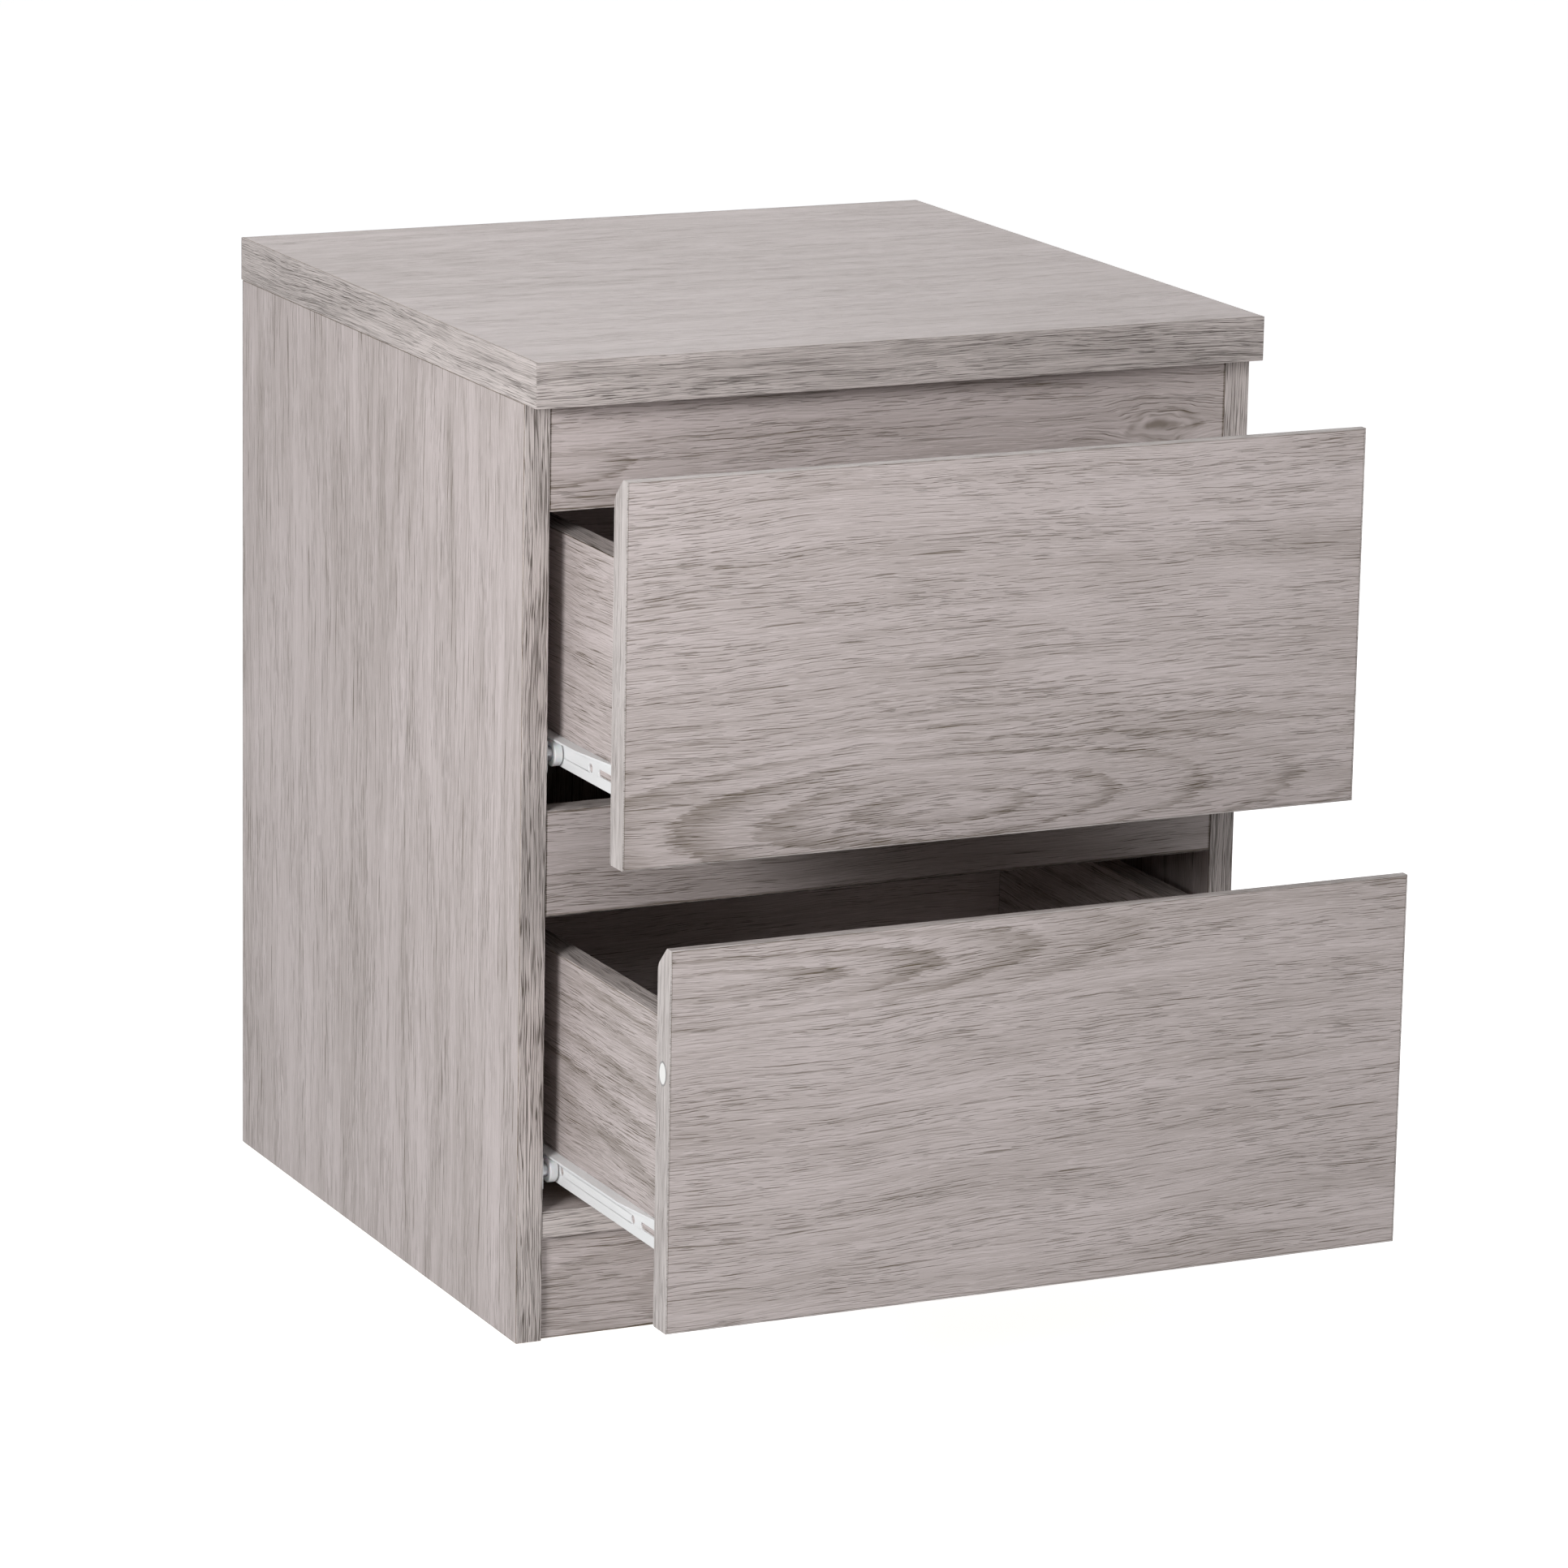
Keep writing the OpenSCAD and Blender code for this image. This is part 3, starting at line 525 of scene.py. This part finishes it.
def hardboard(name, print_axes, inner_axis, inner_sign, seed):
    """Printed on the inner face, bare brown fibre on the outer one."""
    material, tree, shader, place = new_material(name)
    parts = axes(tree, place)
    grain = add_print(tree, parts[print_axes[0]], parts[print_axes[1]], seed, {})
    printed = blend(tree, grain.outputs["Darkness"], OAK_LIGHT, OAK_DARK)
    fibres = noise(tree, place, detail=5, roughness=0.75, scale=420)
    mottle = centred(tree, noise(tree, place, detail=2, roughness=0.5, scale=9), 0.2)
    bare = blend(tree, rise(tree, total(tree, fibres, mottle), 0.25, 0.80),
                 HARDBOARD_DARK, HARDBOARD_LIGHT)
    inner = facing(tree, inner_axis, inner_sign)
    tree.links.new(blend(tree, inner, bare, printed), shader.inputs["Base Color"])
    shader.inputs["Roughness"].default_value = 0.6
    tree.links.new(bump(tree, fibres, 0.0002), shader.inputs["Normal"])
    return material


# ---- other materials ----

def powder_coat():
    """White enamel on sheet steel, with a faint orange peel."""
    material, tree, shader, place = new_material("white powder coat")
    peel = noise(tree, place, detail=2, roughness=0.5, scale=900)
    cloud = noise(tree, place, detail=3, roughness=0.5, scale=25)
    colour = blend(tree, rise(tree, cloud, 0.3, 0.7), STEEL_WHITE, shaded(STEEL_WHITE, 0.95))
    tree.links.new(colour, shader.inputs["Base Color"])
    tree.links.new(calc(tree, "MULTIPLY_ADD", cloud, 0.1, 0.30), shader.inputs["Roughness"])
    tree.links.new(bump(tree, peel, 0.00004), shader.inputs["Normal"])
    return material


def nylon():
    material, tree, shader, place = new_material("white nylon")
    cloud = noise(tree, place, detail=3, roughness=0.6, scale=300)
    colour = blend(tree, cloud, NYLON_WHITE, shaded(NYLON_WHITE, 0.90))
    tree.links.new(colour, shader.inputs["Base Color"])
    tree.links.new(calc(tree, "MULTIPLY_ADD", cloud, 0.15, 0.35), shader.inputs["Roughness"])
    tree.links.new(bump(tree, cloud, 0.00003), shader.inputs["Normal"])
    shader.inputs["Subsurface Weight"].default_value = 0.15
    shader.inputs["Subsurface Scale"].default_value = 0.002
    return material


def zinc_plate():
    material, tree, shader, place = new_material("zinc plate")
    cloud = noise(tree, place, detail=4, roughness=0.6, scale=700)
    grit = noise(tree, place, detail=2, roughness=0.5, scale=4000)
    colour = blend(tree, cloud, ZINC, shaded(ZINC, 0.75))
    tree.links.new(colour, shader.inputs["Base Color"])
    tree.links.new(calc(tree, "MULTIPLY_ADD", cloud, 0.25, 0.22), shader.inputs["Roughness"])
    tree.links.new(bump(tree, grit, 0.00002), shader.inputs["Normal"])
    shader.inputs["Metallic"].default_value = 1.0
    return material


def turned_beech():
    material, tree, shader, place = new_material("beech")
    parts = axes(tree, place)
    flecks = grain_noise(tree, parts["X"], parts["Z"], seed=3.0, lengthwise=120, crosswise=1500,
                         detail=3.0)
    colour = blend(tree, rise(tree, flecks, 0.35, 0.7), BEECH_LIGHT, BEECH_DARK)
    tree.links.new(colour, shader.inputs["Base Color"])
    tree.links.new(bump(tree, flecks, 0.0001), shader.inputs["Normal"])
    shader.inputs["Roughness"].default_value = 0.65
    return material


def label_paper():
    """White oval sticker with a grey rim and nothing on it."""
    material, tree, shader, place = new_material("label paper")
    fibres = noise(tree, place, detail=4, roughness=0.7, scale=1800)
    low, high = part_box("front_sticker")
    parts = axes(tree, place)
    radius = distance(tree, parts["Y"], parts["Z"], (low.y + high.y) / 2, (low.z + high.z) / 2,
                      (high.y - low.y) / 2, (high.z - low.z) / 2)
    paper = blend(tree, fibres, PAPER, shaded(PAPER, 0.92))
    colour = blend(tree, rise(tree, radius, 0.80, 0.90), paper, RIM_GREY)
    tree.links.new(colour, shader.inputs["Base Color"])
    tree.links.new(bump(tree, fibres, 0.00003), shader.inputs["Normal"])
    shader.inputs["Roughness"].default_value = 0.6
    return material


def floor_paint():
    """Nearly white floor that glows enough to show as white."""
    material, tree, shader, place = new_material("pale floor")
    cloud = noise(tree, place, detail=3, roughness=0.5, scale=3)
    colour = blend(tree, cloud, FLOOR_WHITE, shaded(FLOOR_WHITE, 0.985))
    tree.links.new(colour, shader.inputs["Base Color"])
    shader.inputs["Roughness"].default_value = 0.9
    shader.inputs["Specular IOR Level"].default_value = 0.1
    shader.inputs["Emission Color"].default_value = (*WHITE, 1.0)
    shader.inputs["Emission Strength"].default_value = FLOOR_GLOW
    return material


# ---- dressing the CAD nodes ----

def dress(material, *names):
    for name in names:
        slots = nodes[name].material_slots
        for slot in slots:
            slot.material = material
        if not slots:
            nodes[name].data.materials.append(material)


def ending(*endings):
    """Names of the nodes with one of these endings."""
    return [name for name in nodes if name.endswith(endings)]


def soften(width, *names):
    """Rounds the sharp edges of some nodes."""
    for name in names:
        weld = nodes[name].modifiers.new("weld", "WELD")
        weld.merge_threshold = WELD_GAP
        bevel = nodes[name].modifiers.new("soft edges", "BEVEL")
        bevel.width = width
        bevel.segments = 2
        bevel.limit_method = "ANGLE"
        bevel.angle_limit = math.radians(SHARP_ANGLE)
        bevel.harden_normals = True


def dress_cabinet_boards():
    laminate("top_panel", "X", "Y", seed=3.1, loop_along=0.10, loop_across=0.19, ring_height=0.02,
             ring_depth=0.10, pore_depth=0.18, crack_depth=0.20, streak_depth=0.38, rope_depth=0.03)
    for side, seed in (("left", 11.7), ("right", 17.2)):
        laminate(side + "_side_panel", "Z", "Y", seed, loop_along=0.14, loop_across=0.02,
                 ring_length=0.13, ring_height=0.016, ring_depth=0.16, pore_depth=0.32,
                 rope_depth=0.06)
    # the rails and the plinth get a wider dark edge line: painted shade where they sit back between the
    # side panels
    low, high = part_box("upper_rail")
    laminate("upper_rail", "X", "Z", seed=21.4, seam_and_shade_width=RAIL_SEAM_AND_SHADE,
             loop_along=low.x, loop_across=low.z + 0.024, ring_length=0.045, ring_height=0.010,
             ring_depth=0.5, ring_reach=2.6, pore_depth=0.40, crack_depth=0.40, rope_depth=0.06,
             knot_along=high.x - 0.038, knot_across=high.z - 0.033, knot_depth=1.0)
    laminate("middle_rail", "X", "Z", seed=27.9, seam_and_shade_width=RAIL_SEAM_AND_SHADE, ring_depth=0.15)
    laminate("plinth", "X", "Z", seed=33.3, seam_and_shade_width=RAIL_SEAM_AND_SHADE, loop_along=0.1,
             loop_across=0.02, ring_depth=0.2)
    laminate("bottom_panel", "X", "Y", seed=38.6, loop_along=0.1)
    dress(hardboard("back board", "ZX", "Y", -1, seed=59.0), "back_panel")


def dress_cabinet_bands():
    coarse = {"crack_depth": 0.4, "streak_depth": 0.65}
    dress(edge_band("slab band print", TOP_RUNS, seed=44.0, squeeze=1.2, rope_depth=0.34,
                    ring_depth=0.0, **coarse), "top_edge_bands")
    dress(edge_band("side band print", SIDE_RUNS, seed=49.0, squeeze=1.3, rope_depth=0.66,
                    ring_depth=0.0, **coarse), "side_edge_bands")
    dress(edge_band("rail band print", TOP_RUNS, seed=54.0, squeeze=0.8, rope_depth=0.3, **coarse),
          "rail_edge_bands", "bottom_edge_band")


def dress_drawer(level, seed, **front_loops):
    laminate(level + "_drawer_front", "X", "Z", seed, **front_loops)
    dress(edge_band(level + " front band print", FRONT_RUNS, seed + 5, END_LIGHT, END_DARK,
                    ring_depth=0.0, pore_depth=0.3, streak_depth=1.2, rope_depth=0.35),
          level + "_front_edge_bands")
    for side, shift in (("left", 10), ("right", 14)):
        laminate(f"{level}_drawer_{side}_side", "Y", "Z", seed + shift, loop_across=0.1,
                 ring_depth=0.34, ring_height=0.016, ring_length=0.09, rope_depth=0.2)
    laminate(level + "_drawer_back", "X", "Z", seed + 18)
    dress(edge_band(level + " box band print", BOX_RUNS, seed + 22, squeeze=0.8, rope_depth=0.45,
                    streak_depth=0.8), level + "_box_edge_bands")
    dress(hardboard(level + " drawer bottom", "XY", "Z", 1, seed + 26), level + "_drawer_bottom")


def dress_drawers():
    """The upper front's loops are low on it, and the lower front's are high."""
    low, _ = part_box("upper_drawer_front")
    dress_drawer("upper", 65.0, loop_along=-0.032, loop_across=low.z + 0.018, ring_length=0.053,
                 ring_height=0.009, ring_depth=0.40, ring_reach=10.0)
    _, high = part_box("lower_drawer_front")
    dress_drawer("lower", 105.0, loop_along=-0.182, loop_across=high.z - 0.019, ring_length=0.057,
                 ring_height=0.0075, ring_depth=0.44, ring_reach=6.0, dark_end=1.0)


def dress_hardware():
    dress(powder_coat(), *ending("_channel", "_runner"))
    dress(nylon(), *ending("_roller"))
    dress(zinc_plate(), *ending("nails", "cam_bolts", "cam_discs", "screws", "axles"))
    dress(turned_beech(), "cabinet_dowels")
    dress(label_paper(), "front_sticker")


def soften_edges():
    soften(BOARD_EDGE, "top_panel", "plinth", "bottom_panel", "upper_rail", "middle_rail")
    soften(BOARD_EDGE, *ending("_bands", "_side_panel", "_drawer_front"))
    soften(STEEL_EDGE, *ending("_channel", "_runner"))


# ---- surroundings ----

def direction(azimuth, elevation):
    """From the object towards a viewer or a lamp; azimuth 0 is the front, -90 the left."""
    a, e = math.radians(azimuth), math.radians(elevation)
    return Vector((math.sin(a) * math.cos(e), -math.cos(a) * math.cos(e), math.sin(e)))


def make_camera():
    data = bpy.data.cameras.new("camera")
    data.sensor_width = SENSOR_WIDTH
    data.lens = LENS
    data.clip_end = CAMERA_REACH
    camera = bpy.data.objects.new("camera", data)
    back = direction(CAMERA_AZIMUTH, CAMERA_ELEVATION)
    level = back.to_track_quat("Z", "Y").to_matrix()
    turned = level @ Matrix.Rotation(math.radians(CAMERA_ROLL), 3, "Z")
    camera.matrix_world = Matrix.Translation(AIM + back * CAMERA_DISTANCE) @ turned.to_4x4()
    bpy.context.scene.collection.objects.link(camera)
    bpy.context.scene.camera = camera


def soft_box(name, azimuth, elevation, distance, size, power):
    data = bpy.data.lights.new(name, "AREA")
    data.shape = "SQUARE"
    data.size = size
    data.energy = power
    lamp = bpy.data.objects.new(name, data)
    middle = (cad_box[0] + cad_box[1]) / 2
    away = direction(azimuth, elevation)
    lamp.location = middle + away * distance
    lamp.rotation_mode = "QUATERNION"
    lamp.rotation_quaternion = away.to_track_quat("Z", "Y")
    bpy.context.scene.collection.objects.link(lamp)


def make_world():
    """Lights the object softly; the camera itself sees white."""
    world = bpy.data.worlds.new("studio")
    bpy.context.scene.world = world
    world.use_nodes = True
    tree = world.node_tree
    shade = tree.nodes["Background"]
    shade.inputs["Color"].default_value = (*WHITE, 1.0)
    rays = tree.nodes.new("ShaderNodeLightPath").outputs
    seen = rays["Is Camera Ray"]
    heading = tree.nodes.new("ShaderNodeTexCoord").outputs["Generated"]
    height = axes(tree, heading)["Z"]
    above = rise(tree, height, *ABOVE_RISES, WORLD_ABOVE)
    backdrop = calc(tree, "MULTIPLY", rise(tree, height, *BACKDROP_RISES, BACKDROP),
                    rays["Is Glossy Ray"])
    below = calc(tree, "SUBTRACT", WORLD_BELOW, rise(tree, height, *BELOW_FADES, WORLD_BELOW))
    unseen = calc(tree, "SUBTRACT", 1.0, seen)
    strength = calc(tree, "MULTIPLY_ADD", total(tree, above, backdrop, below), unseen, seen)
    tree.links.new(strength, shade.inputs["Strength"])


def make_floor():
    """Seen by the camera alone: the world below stands in for the light it throws back."""
    mesh = bpy.data.meshes.new("floor")
    corners = [(-FLOOR_REACH, -FLOOR_REACH, 0), (FLOOR_REACH, -FLOOR_REACH, 0),
               (FLOOR_REACH, FLOOR_REACH, 0), (-FLOOR_REACH, FLOOR_REACH, 0)]
    mesh.from_pydata(corners, [], [(0, 1, 2, 3)])
    mesh.materials.append(floor_paint())
    floor = bpy.data.objects.new("floor", mesh)
    floor.location.z = cad_box[0].z - FLOOR_DROP
    floor.visible_diffuse = False
    floor.visible_glossy = False
    bpy.context.scene.collection.objects.link(floor)


OAK_PRINT = oak_print()
dress_cabinet_boards()
dress_cabinet_bands()
dress_drawers()
dress_hardware()
soften_edges()
make_camera()
for name, settings in SOFT_BOXES.items():
    soft_box(name, *settings)
make_world()
make_floor()
bpy.context.scene.view_settings.view_transform = "Standard"
